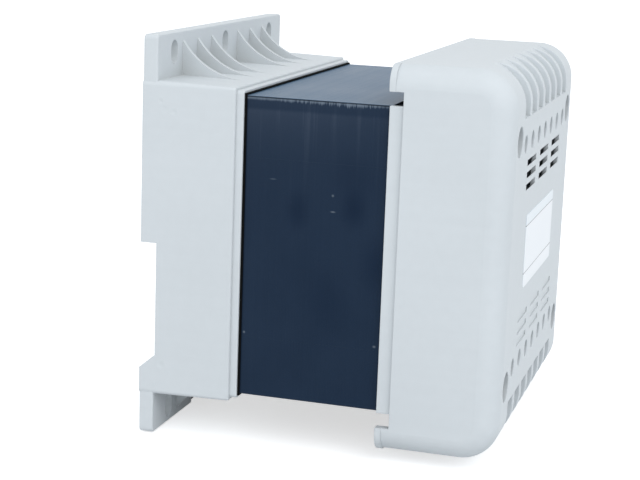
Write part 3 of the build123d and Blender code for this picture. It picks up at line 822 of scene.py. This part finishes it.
screw_count = 7
screw_head_radius = 0.0025
screw_head_height = 0.0022
screw_radius = 0.00175
screw_dome = ((0.0006, 0.0), (0.0002, 0.00012), (0.0, 0.0005))
screw_point = 0.0006
slot_wide = 0.0008
slot_deep = 0.0010
screw_turn = 1.5
screw_edge = 0.00012
for row, seed in (("upper", 3), ("lower", 11)):
    low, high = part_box(f"{row}_terminal_screws")
    length = high.y - low.y
    screw = turned(
        f"{row}_screw",
        [
            (0, 0),
            *((screw_head_radius - inset, y) for inset, y in screw_dome),
            (screw_head_radius, screw_head_height),
            (screw_radius, screw_head_height),
            (screw_radius, length - screw_point),
            (screw_radius - screw_point, length),
            (0, length),
        ],
    )
    slot = slab("slot", (4 * screw_head_radius, 2 * slot_deep, slot_wide))
    screw = cut(screw, [slot], screw_edge)
    screws = grown(
        f"{row}_terminal_screw_row",
        grid_tree,
        {
            "Fastener": screw,
            "Columns": screw_count,
            "Rows": 1,
            "Width": high.x - low.x - 2 * screw_head_radius,
            "Height": 0.0,
            "Middle": (0.0, low.y, (low.z + high.z) / 2),
            "Turn": screw_turn,
            "Seed": seed,
            "Finish": zinc,
        },
    )
    bpy.data.objects.remove(screw)
    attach(screws, "housing")
    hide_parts(f"{row}_terminal_screws")


# Front cover: a second light grey moulding, with hoods over the wire entries, grooved rounded
# edges, screwdriver holes and vents. It is held by the core bolts at the bottom of its tubes.
cover_finish = moulded_finish("light_grey_cover", light_grey, grey_roughness)
dress(cover_finish, "front_cover")


# Core bolts: four long zinc plated bolts with cross recessed pan heads, washers under the heads
# and six-sided nuts in the pockets of the base, where the cut threads stand out a little.
bolt_low, bolt_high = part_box("core_bolts")
nut_low, nut_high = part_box("core_nuts")
washer_low, washer_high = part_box("bolt_washers")
bolt_radius = 0.0025
head_radius = 0.0040
head_height = 0.0034
head_dome = ((0.55, 0.00008), (0.82, 0.00045), (0.97, 0.0012), (1.0, 0.0020))
thread_pitch = 0.0008
thread_depth = 0.00028
thread_length = 0.016
thread_play = 0.00003
thread_sides = 26
thread_rows_per_turn = 6
recess_long = 0.0046
recess_deep = 0.0034
recess_wide = 0.0011
bolt_edge = 0.00015
bolt_turn = 1.4
bolt_length = bolt_high.y - bolt_low.y
thread_start = bolt_length - thread_length
bolts_wide = bolt_high.x - bolt_low.x - 2 * head_radius
bolts_high = bolt_high.z - bolt_low.z - 2 * head_radius
bolt_middle_z = (bolt_low.z + bolt_high.z) / 2


def add_thread(piece, radius, start, end):
    """Adds a screw thread about Y, as a wall whose radius follows the thread's flanks."""
    shape = bmesh.new()
    shape.from_mesh(piece.data)
    rows = int((end - start) / thread_pitch * thread_rows_per_turn)
    walls = []
    for row in range(rows + 1):
        y = start + (end - start) * row / rows
        ring = []
        for index in range(thread_sides):
            phase = (y / thread_pitch - index / thread_sides) % 1.0
            fade = min(1.0, (end - y) / thread_pitch, (y - start) / thread_pitch)
            crest = radius - thread_depth * (1 - fade * (1 - abs(2 * phase - 1)))
            angle = 2 * math.pi * index / thread_sides
            ring.append(shape.verts.new((crest * math.cos(angle), y, crest * math.sin(angle))))
        walls.append(ring)
    for first, second in zip(walls, walls[1:]):
        for index in range(thread_sides):
            after = (index + 1) % thread_sides
            shape.faces.new((first[index], second[index], second[after], first[after]))
    shape.faces.new(walls[-1])
    shape.faces.new(walls[0][::-1])
    shape.to_mesh(piece.data)
    shape.free()


bolt = turned(
    "bolt",
    [
        (0, 0),
        *((head_radius * share, y) for share, y in head_dome),
        (head_radius, head_height),
        (bolt_radius, head_height),
        (bolt_radius, thread_start),
        (bolt_radius - thread_depth, thread_start),
        (0, thread_start),
    ],
)
recess = [
    slab("recess", (recess_long, recess_deep, recess_wide)),
    slab("recess", (recess_wide, recess_deep, recess_long)),
]
bolt = cut(bolt, recess, bolt_edge)
add_thread(bolt, bolt_radius - thread_play, thread_start, bolt_length)

washer_thickness = washer_high.y - washer_low.y
washer_edge = 0.0001
washer_bore = bolt_radius + 0.0002
washer_radius = head_radius - 0.00002
washer = turned(
    "washer",
    [
        (washer_bore, 0),
        (head_radius - washer_edge, 0),
        (washer_radius, washer_edge),
        (washer_radius, washer_thickness - washer_edge),
        (head_radius - washer_edge, washer_thickness),
        (washer_bore, washer_thickness),
        (washer_bore, 0),
    ],
)

nut_height = nut_high.y - nut_low.y
nut_flat = 0.0040
nut_corner = nut_flat / math.cos(math.pi / 6)
nut_chamfer = 0.0006
nut_ease = 0.0001
nut_edge = 0.00006
nut_bore = bolt_radius + 0.00006
trim_radius = nut_flat + 0.0010
trim_past = 0.0005
nut = turned("nut", [(nut_corner, 0), (nut_corner, nut_height)], sides=6)
flat_up = Matrix.Rotation(math.pi / 6, 3, "Y")
nut_shape = bmesh.new()
nut_shape.from_mesh(nut.data)
bmesh.ops.holes_fill(nut_shape, edges=nut_shape.edges[:])
bmesh.ops.rotate(nut_shape, verts=nut_shape.verts[:], cent=(0, 0, 0), matrix=flat_up)
bmesh.ops.recalc_face_normals(nut_shape, faces=nut_shape.faces[:])
nut_shape.to_mesh(nut.data)
nut_shape.free()
nut_trim = turned(
    "nut_trim",
    [
        (0, -trim_past),
        (nut_flat + nut_ease, -trim_past),
        (nut_flat - nut_ease, 0),
        (trim_radius, nut_chamfer),
        (trim_radius, nut_height - nut_chamfer),
        (nut_flat - nut_ease, nut_height),
        (0, nut_height),
    ],
    sides=36,
)
chamfer = nut.modifiers.new("chamfer", "BOOLEAN")
chamfer.operation = "INTERSECT"
chamfer.object = nut_trim
bore_from, bore_to = -0.01, 0.02
bore = turned(
    "bore", [(0, bore_from), (nut_bore, bore_from), (nut_bore, bore_to), (0, bore_to)], sides=30
)
nut = cut(nut, [bore], nut_edge)
bpy.data.objects.remove(nut_trim)

for name, fastener, y, node, seed in (
    ("core_bolt_set", bolt, bolt_low.y, "core_bolts", 5),
    ("bolt_washer_set", washer, washer_low.y, "bolt_washers", 6),
    ("core_nut_set", nut, nut_low.y, "core_nuts", 8),
):
    fasteners = grown(
        name,
        grid_tree,
        {
            "Fastener": fastener,
            "Columns": 2,
            "Rows": 2,
            "Width": bolts_wide,
            "Height": bolts_high,
            "Middle": (0.0, y, bolt_middle_z),
            "Turn": 0.0 if node == "core_nuts" else bolt_turn,
            "Seed": seed,
            "Finish": zinc,
        },
    )
    bpy.data.objects.remove(fastener)
    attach(fasteners, "housing")
    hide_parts(node)


# Nameplate: a thin satin label stuck to the middle of the front, with plain printed rules that
# mark off a strip above and below, and no words.
plate_low, plate_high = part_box("nameplate")
label, place = new_finish("label_film")
paper = place.noise(1100.0, 3.0)
faint = place.noise(60.0)
height = place.node("ShaderNodeSeparateXYZ", inputs={"Vector": place}, output="Z")
plate_height = plate_high.z - plate_low.z
rule_half = 0.00013
label_white = (0.84, 0.87, 0.915, 1.0)
strip_blue = (0.775, 0.835, 0.89, 1.0)
rule_grey = (0.16, 0.17, 0.19, 1.0)
upper_rule = plate_low.z + 0.85 * plate_height
lower_rule = plate_low.z + 0.20 * plate_height
rules = (abs(height - upper_rule) < rule_half) + (abs(height - lower_rule) < rule_half)
strip = height > upper_rule
ground = strip.mix(label_white, strip_blue)
aged = (0.6 * paper + 0.4 * faint).mix((0.955, 0.955, 0.955, 1.0), (1.0, 1.0, 1.0, 1.0))
shaded = place.node(
    "ShaderNodeMix",
    {"data_type": "RGBA", "blend_type": "MULTIPLY"},
    {0: 1.0, 6: ground, 7: aged},
    2,
)
place.surface(
    {
        "Base Color": rules.mix(shaded, rule_grey),
        "Roughness": 0.36 + 0.12 * (paper - 0.5),
        "Normal": place.bump(paper, 0.08, 0.00005),
    }
)
dress(label, "nameplate")


# Stage: a plain white floor and soft light from all round, with a large lamp above and in front and
# a weaker one at the left, as on a photographer's table. The floor keeps a faint shadow.
floor_half = 4
floor_gap = 0.0004
floor_corners = [(x * floor_half, y * floor_half, 0) for x, y in ((-1, -1), (1, -1), (1, 1), (-1, 1))]
floor_mesh = bpy.data.meshes.new("floor")
floor_mesh.from_pydata(floor_corners, [], [(0, 1, 2, 3)])
floor = linked("floor", floor_mesh)
floor.location.z = -floor_gap


def seen(start):
    """1 for rays that show a thing to the camera, straight or by way of metal and glass."""
    straight, mirrored, through = (
        start.node("ShaderNodeLightPath", output=f"Is {ray} Ray")
        for ray in ("Camera", "Glossy", "Transmission")
    )
    return start.math("MAXIMUM", start.math("MAXIMUM", straight, mirrored), through)


plain_white = (1.0, 1.0, 1.0, 1.0)
floor_grey = (0.71, 0.72, 0.73, 1.0)
floor_glow = 0.62
white_floor = bpy.data.materials.new("white_floor")
start = emptied(white_floor)
lit = start.node("ShaderNodeBsdfDiffuse", inputs={"Color": floor_grey})
glow = start.node(
    "ShaderNodeEmission", inputs={"Color": plain_white, "Strength": seen(start) * floor_glow}
)
both = start.node("ShaderNodeAddShader", inputs={0: lit, 1: glow})
start.node("ShaderNodeOutputMaterial", inputs={"Surface": both})
floor_mesh.materials.append(white_floor)

room_light = (0.935, 0.973, 0.995, 1.0)
room_strength = 0.82
world = bpy.data.worlds.new("studio")
bpy.context.scene.world = world
start = emptied(world)
ambient = start.node(
    "ShaderNodeBackground", inputs={"Color": room_light, "Strength": room_strength}
)
backdrop = start.node("ShaderNodeBackground", inputs={"Color": plain_white, "Strength": 1.0})
shown = start.node("ShaderNodeMixShader", inputs={0: seen(start), 1: ambient, 2: backdrop})
start.node("ShaderNodeOutputWorld", inputs={"Surface": shown})


def soft_box(name, place, aim, size, power):
    """A square diffused lamp at a place, aimed at a point."""
    lamp = bpy.data.lights.new(name, "AREA")
    lamp.size = size
    lamp.energy = power
    box = linked(name, lamp)
    box.location = place
    box.rotation_euler = (Vector(aim) - Vector(place)).to_track_quat("-Z", "Y").to_euler()


lamp_aim = (0, 0, 0.06)
soft_box("front_box", (-0.98, -0.90, 1.26), lamp_aim, size=1.3, power=10.5)
soft_box("side_box", (-1.4, 0.3, 0.6), lamp_aim, size=1.0, power=2.3)

bpy.context.scene.view_settings.view_transform = "Standard"


# Camera: at the photograph's height, angle and slight roll, from the left and a little above, with a
# long lens that was fitted to the object's corners.
eye = Vector((-0.51759, -0.13549, 0.16878))
look = Vector((0.93875, 0.27689, -0.20512)).normalized()
roll = math.radians(2.103)
level = look.cross(Vector((0, 0, 1))).normalized()
rise = level.cross(look)
right = level * math.cos(roll) + rise * math.sin(roll)
up = rise * math.cos(roll) - level * math.sin(roll)
lens = bpy.data.cameras.new("camera")
lens.lens = 90.015
lens.sensor_width = 36.0
lens.sensor_fit = "HORIZONTAL"
lens.clip_start = 0.01
camera = linked("camera", lens)
camera.matrix_world = Matrix.Translation(eye) @ Matrix((right, up, -look)).transposed().to_4x4()
bpy.context.scene.camera = camera
